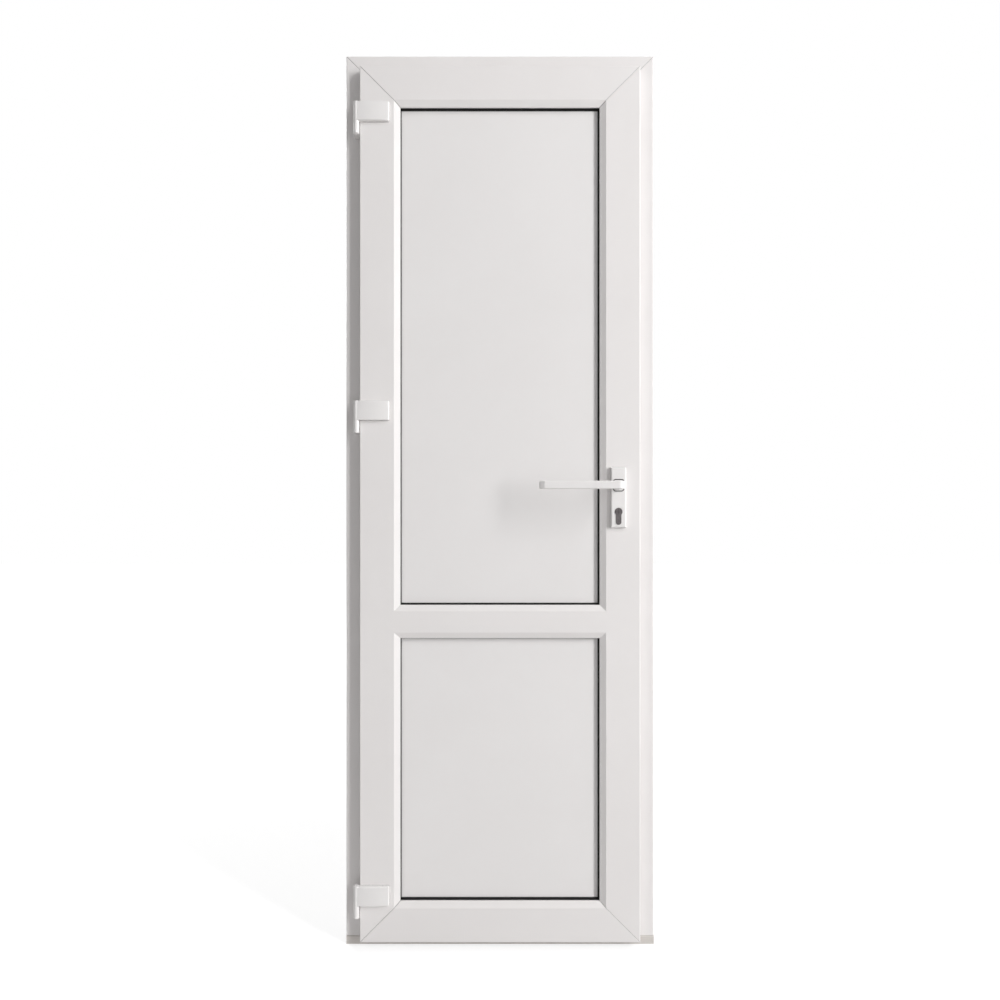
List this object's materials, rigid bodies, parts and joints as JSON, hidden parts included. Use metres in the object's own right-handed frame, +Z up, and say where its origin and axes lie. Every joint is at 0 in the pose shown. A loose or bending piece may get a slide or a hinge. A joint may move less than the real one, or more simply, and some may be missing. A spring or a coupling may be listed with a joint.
{
  "type": "upvc door",
  "caption": "White uPVC door leaf with an upper and a lower solid panel, hinged in its outer frame on flap hinges, with a lever handle, a cylinder lock and a low threshold.",
  "frame": {"origin": "middle of the threshold's underside, at mid depth of the outer frame", "axes": "+Z up, +X to the right as seen from the hinge side of the door, +Y away from that viewer, so the leaf opens towards -Y"},
  "size_m": [0.71, 0.17, 2.05],
  "materials": {
    "profile": "smooth white extruded uPVC, satin gloss",
    "bead": "smooth white extruded uPVC, satin gloss",
    "panel": "smooth white sandwich panel skin, satin",
    "gasket": "black glazing gasket",
    "seal": "black closing seal",
    "threshold": "satin anodised extrusion",
    "hinge": "white powder coat",
    "handle": "white powder coat",
    "collar": "black moulded bush",
    "cylinder": "dark satin metal",
    "lock_steel": "satin zinc-plated steel"
  },
  "bodies": {
    "frame": {"jamb_left": "profile", "jamb_right": "profile", "frame_head": "profile", "threshold": "threshold", "frame_seal": "seal", "strike_plate": "lock_steel", "hinge_bracket_top": "hinge", "hinge_bracket_middle": "hinge", "hinge_bracket_bottom": "hinge"},
    "leaf": {"stile_left": "profile", "stile_right": "profile", "rail_top": "profile", "rail_bottom": "profile", "mid_rail": "profile", "panel_upper": "panel", "panel_lower": "panel", "gasket_upper_front": "gasket", "gasket_upper_back": "gasket", "gasket_lower_front": "gasket", "gasket_lower_back": "gasket", "bead_upper_left": "bead", "bead_upper_top": "bead", "bead_upper_right": "bead", "bead_upper_bottom": "bead", "bead_lower_left": "bead", "bead_lower_top": "bead", "bead_lower_right": "bead", "bead_lower_bottom": "bead", "leaf_seal": "seal", "bottom_seal": "seal", "hinge_flap_top": "hinge", "hinge_flap_middle": "hinge", "hinge_flap_bottom": "hinge", "handle_plate_front": "handle", "handle_plate_back": "handle", "handle_collar_front": "collar", "handle_collar_back": "collar", "lock_cylinder": "cylinder", "lock_faceplate": "lock_steel", "latch_bolt": "lock_steel", "dead_bolt": "lock_steel"},
    "handle": {"lever_front": "handle", "lever_back": "handle", "spindle": "lock_steel"}
  },
  "joints": [
    {"name": "leaf_swing", "type": "hinge", "parent": "frame", "child": "leaf", "pos_m": [-0.327, -0.0515, 0.1], "axis": [0, 0, -1], "range_deg": [0, 100]},
    {"name": "handle_turn", "type": "hinge", "parent": "leaf", "child": "handle", "pos_m": [0.269, -0.02, 1.0585], "axis": [0, -1, 0], "range_deg": [0, 40], "stiffness_Nm_per_rad": 1.2, "springref_deg": -40.11}
  ]
}
